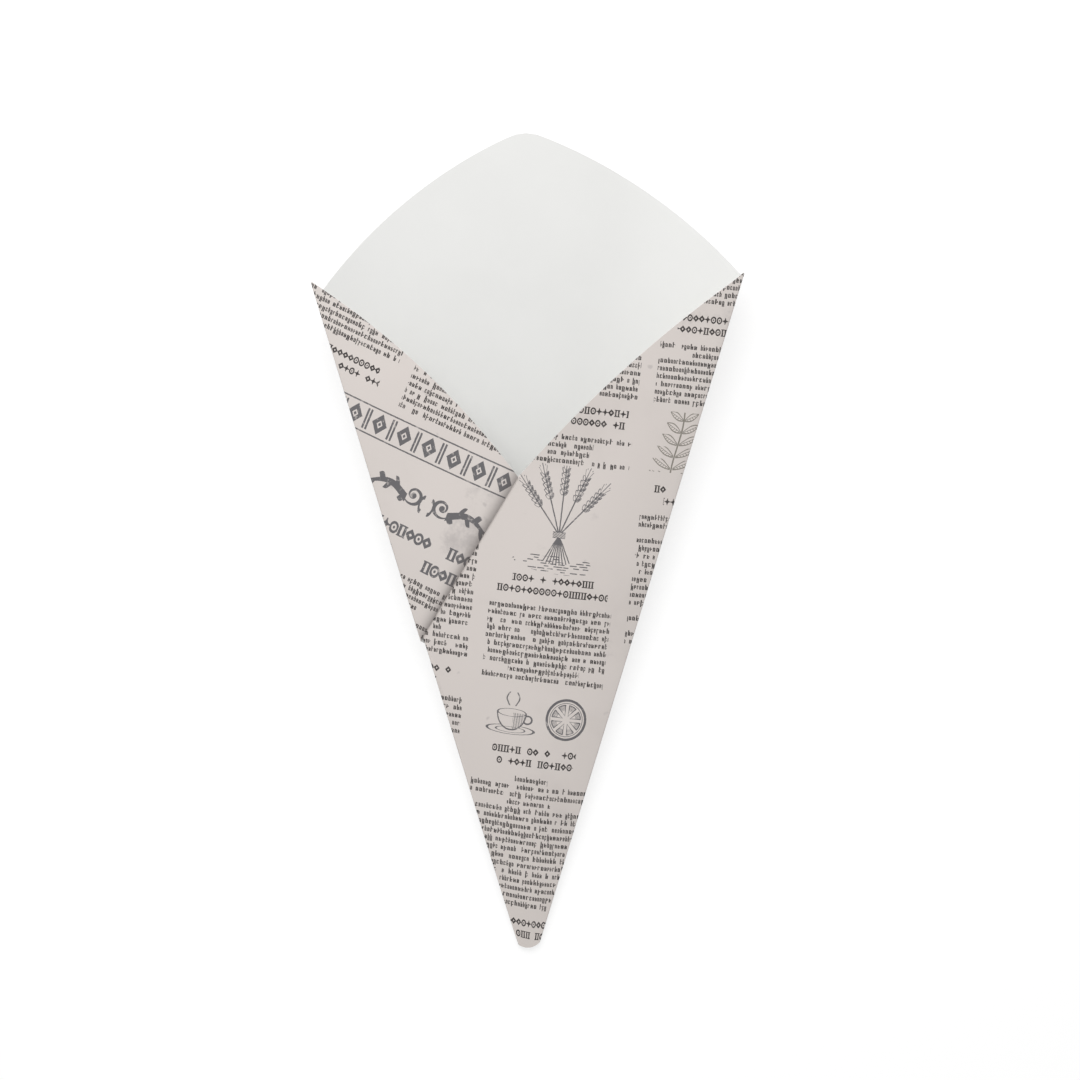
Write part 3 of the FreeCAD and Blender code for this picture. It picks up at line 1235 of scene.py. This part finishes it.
@dataclass(frozen=True)
class ScrollPair:
    """A mirrored pair of leafy scrolls, a common printers' ornament."""

    across: float
    up: float
    size: float

    def marks(self, bench: Bench, p: Wire, q: Wire) -> Wire:
        """Two volutes with tapering leafy stems that run out to both sides.

        Args:
            bench: where the nodes stand.
            p: distance across the page.
            q: distance up the page.

        Returns:
            1 on the ornament.
        """
        x = abs(p - self.across) / self.size
        y = (q - self.up) / self.size
        dx, dy = x - 4.6, y - 0.6
        around = (dx * dx + dy * dy) ** 0.5
        angle = bench.maths("ARCTAN2", dy, dx) / math.tau
        coil = (bench.maths("LOGARITHM", around, 3.2) - angle).fract()
        volute = coil.between(0.0, 0.40) * around.between(0.35, 3.1)
        bud = around < 0.75
        sway = (x * 0.33 - 2.6).sine() * 1.7 - 0.4
        run = x - 6.5
        thick = (1 - run / 17.0) * 1.15 + 0.14
        stem = (abs(y - sway) < thick) * run.between(0.0, 17.5)
        beat = (run / 2.5)
        side = (beat.floor() * 0.5).fract() * 4.0 - 1.0
        u = beat.fract()
        off = (y - sway) * side - u * 2.3
        lobe = (u * math.pi).sine() * 1.15 + 0.05
        leaf = (abs(off) < lobe) * run.between(0.4, 15.0)
        arm_x, arm_y = x - 1.2, y + 0.8
        arm = (arm_x * arm_x * 2.2 + arm_y * arm_y * 0.35) ** 0.5
        crest = arm.between(0.9, 1.65) * (arm_x > -0.15)
        return volute.most(bud).most(stem).most(leaf).most(crest)


@dataclass(frozen=True)
class LozengeBand:
    """A bold band of lozenges and bars between rules."""

    place: Area
    repeat: float = 8.6

    def marks(self, bench: Bench, p: Wire, q: Wire) -> Wire:
        """The band.

        Args:
            bench: not used.
            p: distance across the page.
            q: distance up the page.

        Returns:
            1 on the band.
        """
        middle = (self.place.low + self.place.high) / 2
        tall = (self.place.high - self.place.low) / 2
        x = ((p - self.place.left) / self.repeat).fract() * 2 - 1
        y = (q - middle) / tall
        aside, aloft = abs(x), abs(y)
        slope = aside * 1.45 + aloft * 1.15
        lozenge = slope.between(0.34, 0.86)
        dot = slope < 0.17
        bars = aside.between(0.80, 0.95) * (aloft < 0.74)
        rules = aloft.between(0.9, 1.0)
        return lozenge.most(dot).most(bars).most(rules) * self.place.inside(p, q)


@dataclass(frozen=True)
class WheatSheaf:
    """An engraved sheaf of wheat: five bearded ears, tied stalks."""

    across: float
    up: float
    size: float = 1.0

    def marks(self, bench: Bench, p: Wire, q: Wire) -> Wire:
        """The sheaf in strokes.

        Args:
            bench: where the nodes stand.
            p: distance across the page.
            q: distance up the page.

        Returns:
            1 on a stroke.
        """
        x, y = (p - self.across) / self.size, (q - self.up) / self.size
        above = y > 0
        around = (x * x + y * y) ** 0.5
        angle = bench.maths("ARCTAN2", x, abs(y))
        spread = 0.34
        turn = (angle / spread + 0.5).floor()
        folded = angle - turn * spread
        in_fan = abs(turn) < 2.5
        along = around * bench.maths("COSINE", folded)
        off = around * folded.sine()
        aside = abs(off)
        reach = 12.5 - abs(turn) * 0.9
        ear = along - reach
        beat = (ear / 1.75).fract()
        grain_x = aside - 0.72
        grain_y = (beat - 0.5) * 1.75 - grain_x * 0.9
        grain = (grain_x * grain_x / 0.42 + grain_y * grain_y / 0.62)
        grains = grain.between(0.45, 1.0).most((grain < 0.3) * (off > 0)) * ear.between(0.0, 8.7)
        core = (aside < 0.16) * ear.between(-1.0, 8.5)
        beard_from = ear - 1.5
        beards = abs(aside * 2.6 - (beard_from * 0.55).fract() * 1.4 - 2.0) < 0.22
        beards = beards * beard_from.between(0.0, 9.6)
        tip = (aside < 0.12) * ear.between(8.5, 12.2)
        stalk = (aside < 0.2) * (ear < 0.0)
        upper = grains.most(core).most(beards).most(tip).most(stalk) * in_fan * above
        fan = angle / 0.115
        strands = ((fan + 0.5).fract() - 0.5)
        lower = (abs(strands) * around * 0.115 < 0.17) * (abs(fan) < 4.6) * (around < 9.5) * (1 - above)
        tie = (abs(y) < 1.0) * (abs(x) < 2.0)
        band = tie * (((y * 2.2 + x * 0.8).fract() < 0.55).most(abs(y) > 0.8))
        line = (y / 0.78).floor()
        dash = x / 3.1 + line * 0.37
        chance, length, _, _ = bench.chances(bench.vector(dash.floor(), line, 31.0))
        depth = y + 9.3
        near = (x * x / 210.0 + depth * depth / 9.5)
        strokes = ((y / 0.78).fract() < 0.42) * (dash.fract() < length * 0.5 + 0.45)
        strokes = strokes * (chance > near * 0.95)
        ground = strokes * (near < 1.0) * (1 - lower)
        return (upper.most(lower) * (1 - tie)).most(band).most(ground)


@dataclass(frozen=True)
class CitrusSlice:
    """A small drawing of a round slice of fruit."""

    across: float
    up: float
    radius: float

    def marks(self, bench: Bench, p: Wire, q: Wire) -> Wire:
        """Rind, pith line and eight hatched segments.

        Args:
            bench: where the nodes stand.
            p: distance across the page.
            q: distance up the page.

        Returns:
            1 on a stroke.
        """
        x, y = (p - self.across) / self.radius, (q - self.up) / self.radius
        around = (x * x + y * y) ** 0.5
        turn = (bench.maths("ARCTAN2", y, x) / math.tau * 8.0).fract() - 0.5
        rind = around.between(0.88, 1.0).most(around.between(0.78, 0.81))
        inset = (0.46 - 0.10 / (around + 0.02))
        edge = abs(turn) - inset
        segment = around.between(0.16, 0.72)
        outline = (abs(edge) < 0.05) * segment
        hatch = ((turn * 22.0).fract() < 0.4) * around.between(0.46, 0.72) * (edge < 0)
        cap = around.between(0.68, 0.73) * (edge < 0)
        return rind.most(outline).most(hatch).most(cap)


@dataclass(frozen=True)
class CupAndSaucer:
    """A small drawing of a steaming cup on its saucer."""

    across: float
    up: float
    size: float

    def marks(self, bench: Bench, p: Wire, q: Wire) -> Wire:
        """Bowl, rim, handle, saucer and two wisps of steam.

        Args:
            bench: not used.
            p: distance across the page.
            q: distance up the page.

        Returns:
            1 on a stroke.
        """
        x, y = (p - self.across) / self.size, (q - self.up) / self.size
        xx = x * x
        bowl = xx + y * y * 0.72
        hatch = ((x * 9.0 + y * 2.0).fract() < 0.34) * (bowl < 0.84) * (x > 0.1)
        shell = bowl.between(0.84, 1.0).most(hatch) * (y < 0.0)
        rim = (xx + y * y * 14.0).between(0.80, 1.0)
        hx, hy = x - 1.08, y + 0.38
        handle = (hx * hx + hy * hy * 1.3).between(0.055, 0.125) * (bowl > 1.0)
        sy = y + 1.12
        dish = xx * 0.36 + sy * sy * 10.0
        saucer = dish.between(0.80, 1.0).most(dish.between(0.30, 0.38)) * (bowl > 1.02).most(y < -0.9)
        wave = (y * 5.0).sine() * 0.12
        steam = (abs(abs(x) - 0.30 + wave) < 0.045) * y.between(0.45, 1.35)
        return shell.most(rim).most(handle).most(saucer).most(steam)


@dataclass(frozen=True)
class LeafySprig:
    """A fine line drawing of a sprig with paired leaves."""

    across: float
    up: float
    size: float

    def marks(self, bench: Bench, p: Wire, q: Wire) -> Wire:
        """Stem, leaf outlines and their veins.

        Args:
            bench: not used.
            p: distance across the page.
            q: distance up the page.

        Returns:
            1 on a stroke.
        """
        y = (q - self.up) / self.size
        x = (p - self.across) / self.size - (y * 0.9).sine() * 0.22
        aside = abs(x)
        beat = (y / 0.72).fract() * 0.72
        u = aside / (1.25 - y * 0.2)
        lean = beat - aside * 0.55 - 0.12
        lobe = (u * math.pi).sine() * 0.2
        leaf = (abs(abs(lean) - lobe) < 0.032).most((abs(lean) < 0.018)) * u.between(0.05, 1.0)
        vein = ((aside * 7.0 + lean * 5.0).fract() < 0.22) * (abs(lean) < lobe) * (lean < 0) * (u < 1.0)
        stem = aside < 0.045
        return leaf.most(vein).most(stem) * y.between(-1.5, 2.05)


@dataclass(frozen=True)
class PrintedPaper:
    """The outside: newsprint-toned paper with a generic page of columns, headings and ornaments."""

    ground: Tuple[int, int, int] = (225, 217, 212)
    clouded: Tuple[int, int, int] = (211, 203, 198)
    smudge: Tuple[int, int, int] = (170, 164, 163)
    ink: Tuple[int, int, int] = (68, 64, 63)
    slate: Tuple[int, int, int] = (98, 97, 100)
    olive: Tuple[int, int, int] = (108, 104, 92)
    # Colour of the painted shade that darkens the flap towards its seam edge.
    painted_seam_shade: Tuple[int, int, int] = (92, 85, 83)

    def made(self) -> bpy.types.Material:
        """The finish.

        Returns:
            The material.
        """
        bench = Bench("printed_paper")
        page = bench.node("ShaderNodeUVMap", {"uv_map": "page"})
        p, q, _ = bench.axes(page)
        place = bench.node("ShaderNodeTexCoord", out="Object")
        jitter = bench.cloud(page, 900.0, 1.0)
        p, q = p * 1000 + (jitter - 0.5) * 0.16, q * 1000 + (jitter - 0.5) * 0.12
        cloud = bench.cloud(place, 22.0, 5.0, 0.6)
        ground = bench.mixed(cloud.ramp(0.5, 0.75, 0.0, 0.6), shade(*self.ground), shade(*self.clouded))
        blots = bench.cloud(page, 26.0, 6.0, 0.72).ramp(0.58, 0.72)
        specks = bench.cloud(page, 160.0, 2.0, 0.5).ramp(0.70, 0.76)
        ground = bench.mixed((blots * 0.5).most(specks * 0.4), ground, shade(*self.smudge))
        kept, slate, olive = self.drawings(bench, p, q)
        text = PageLayout().text(bench, p, q, kept)
        wear = bench.cloud(page, 420.0, 3.0, 0.7)
        worn = wear.ramp(0.34, 0.44, 0.55, 1.0)
        colour = bench.mixed(slate * worn * 0.95, ground, shade(*self.slate))
        colour = bench.mixed(olive * 0.8, colour, shade(*self.olive))
        colour = bench.mixed(text * wear.ramp(0.3, 0.5, 0.86, 1.0), colour, shade(*self.ink))
        # Painted shade: the flap darkens towards its glued seam edge, where the roll-down's shade falls.
        painted_seam_shade = bench.node("ShaderNodeAttribute", {"attribute_name": "seam_shade"}, out="Fac")
        colour = bench.mixed(painted_seam_shade * 0.52, colour, shade(*self.painted_seam_shade))
        fibre = bench.cloud(place, 2400.0, 2.0, 0.6)
        normal = bench.node("ShaderNodeBump", None,
                            {"Strength": 0.2, "Distance": 0.03 * MM, "Height": fibre}, "Normal")
        return bench.surface(colour, cloud.ramp(0.2, 0.8, 0.6, 0.72), normal)

    def drawings(self, bench: Bench, p: Wire, q: Wire) -> Tuple[Wire, Wire, Wire]:
        """The ornaments and small drawings.

        Args:
            bench: where the nodes stand.
            p: distance across the page.
            q: distance up the page.

        Returns:
            Where they keep text away, the slate ink and the olive ink.
        """
        sheaf = Area.on_lines(-26.5, 53, 13.5, 67)
        spots = Area.on_lines(-26.5, 31, 13.5, 39)
        sprig = Area.on_lines(17.0, 66, 58.0, 76)
        flap = Area.on_lines(233.0, 42, 334.0, 61)
        kept = sheaf.inside(p, q)
        for area in (spots, sprig, flap):
            kept = kept.most(area.inside(p, q))
        slate = WheatSheaf(-6.5, 143.0, 1.0).marks(bench, p, q) * sheaf.inside(p, q)
        small = CupAndSaucer(-15.0, 86.0, 4.8).marks(bench, p, q).most(
            CitrusSlice(2.5, 85.6, 6.6).marks(bench, p, q)) * spots.inside(p, q)
        band = LozengeBand(Area(233.0, 138.2, 327.5, 147.4)).marks(bench, p, q)
        pair = ScrollPair(304.0, 126.6, 1.08).marks(bench, p, q) * flap.inside(p, q)
        lines = Area(282.0, 104.4, 324.0, 118.8)
        title = OrnamentSetting(2.9, 7.2, 4.0, 0.1, 21.0).marks(bench, p, q - lines.low)
        title = title * lines.inside(p, q)
        olive = LeafySprig(27.5, 174.0, 5.4).marks(bench, p, q) * sprig.inside(p, q)
        return kept, slate.most(small).most(band).most(pair).most(title), olive


@dataclass(frozen=True)
class Studio:
    """A white table under soft light, and a camera straight above it."""

    view_side: float = 0.3366
    centre: Tuple[float, float, float] = (0.00386, 0.00009, 0.010)
    distance: float = 1.6
    sky: float = 0.45
    lamp: float = 5.4
    lamp_place: Tuple[float, float, float] = (-0.12, 0.56, 0.52)
    lamp_size: Tuple[float, float] = (0.9, 0.6)
    lamp_aim: Tuple[float, float, float] = (0.0, 0.02, 0.0)
    table_size: float = 3.0
    table_drop: float = 0.0002
    table_tone: float = 0.82
    seen_tone: float = 0.36
    seen_glow: float = 0.73
    sensor: float = 36.0
    far: float = 20.0

    def table(self) -> bpy.types.Object:
        """The white table on which the cup lies.

        Returns:
            The table.
        """
        work = bmesh.new()
        bmesh.ops.create_grid(work, x_segments=1, y_segments=1, size=self.table_size)
        bmesh.ops.translate(work, verts=work.verts, vec=(0, 0, -self.table_drop))
        mesh = bpy.data.meshes.new("table")
        work.to_mesh(mesh)
        work.free()
        table = bpy.data.objects.new("table", mesh)
        bpy.context.scene.collection.objects.link(table)
        bench = Bench("white_table")
        plain, shadowed = (bench.node("ShaderNodeBsdfDiffuse", None, {"Color": (tone, tone, tone, 1)})
                           for tone in (self.table_tone, self.seen_tone))
        glow = bench.node("ShaderNodeEmission", None, {"Color": (1, 1, 1, 1), "Strength": self.seen_glow})
        seen = bench.node("ShaderNodeAddShader", None, {0: shadowed, 1: glow})
        path = bench.node("ShaderNodeLightPath", out="Is Camera Ray")
        surface = bench.node("ShaderNodeMixShader", None, {0: path, 1: plain, 2: seen})
        below = bench.node("ShaderNodeNewGeometry", out="Backfacing")
        clear = bench.node("ShaderNodeBsdfTransparent")
        bench.closed(bench.node("ShaderNodeMixShader", None, {0: below, 1: surface, 2: clear}))
        mesh.materials.append(bench.material)
        return table

    def light(self) -> None:
        """Even daylight with one large soft lamp towards the mouth."""
        world = bpy.data.worlds.new("daylight")
        bpy.context.scene.world = world
        world.use_nodes = True
        bench = Bench(world.node_tree)
        path = bench.node("ShaderNodeLightPath").socket.node
        seen = Wire(bench, path.outputs["Is Camera Ray"]).most(Wire(bench, path.outputs["Is Glossy Ray"]))
        seen = seen.most(Wire(bench, path.outputs["Is Transmission Ray"]))
        sky = bench.node("ShaderNodeBackground", None, {"Color": (1, 1, 1, 1), "Strength": self.sky})
        white = bench.node("ShaderNodeBackground", None, {"Color": (1, 1, 1, 1), "Strength": 1.0})
        bench.closed(bench.node("ShaderNodeMixShader", None, {0: seen, 1: sky, 2: white}), "World")
        data = bpy.data.lights.new("soft_lamp", "AREA")
        data.shape = "RECTANGLE"
        data.size, data.size_y = self.lamp_size
        data.energy = self.lamp
        lamp = bpy.data.objects.new("soft_lamp", data)
        lamp.location = self.lamp_place
        aim = Vector(self.lamp_aim) - Vector(self.lamp_place)
        lamp.rotation_euler = aim.to_track_quat("-Z", "Y").to_euler()
        bpy.context.scene.collection.objects.link(lamp)

    def camera(self) -> None:
        """A long lens straight above the cup, framed as the photograph is."""
        data = bpy.data.cameras.new("camera")
        data.sensor_width = self.sensor
        data.lens = self.sensor * self.distance / self.view_side
        data.clip_end = self.far
        camera = bpy.data.objects.new("camera", data)
        x, y, z = self.centre
        camera.location = (x, y, z + self.distance)
        bpy.context.scene.collection.objects.link(camera)
        bpy.context.scene.camera = camera


def main() -> None:
    """Builds the cup, its finishes, the light and the camera."""
    logging.basicConfig(level=logging.INFO, format="%(name)s: %(message)s")
    bpy.context.scene.view_settings.view_transform = "Standard"
    sheet = PrintedSheet().build([
        PrintedPaper().made(),
        PlainPaper("white_inside", (231, 231, 229)).made(),
        PlainPaper("cut_edge", (234, 232, 230)).made(),
    ])
    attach(sheet, "root")
    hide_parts(NODE)
    log.info("printed_sheet: %d faces", len(sheet.data.polygons))
    studio = Studio()
    studio.table()
    studio.light()
    studio.camera()


if __name__ == "__main__":
    main()
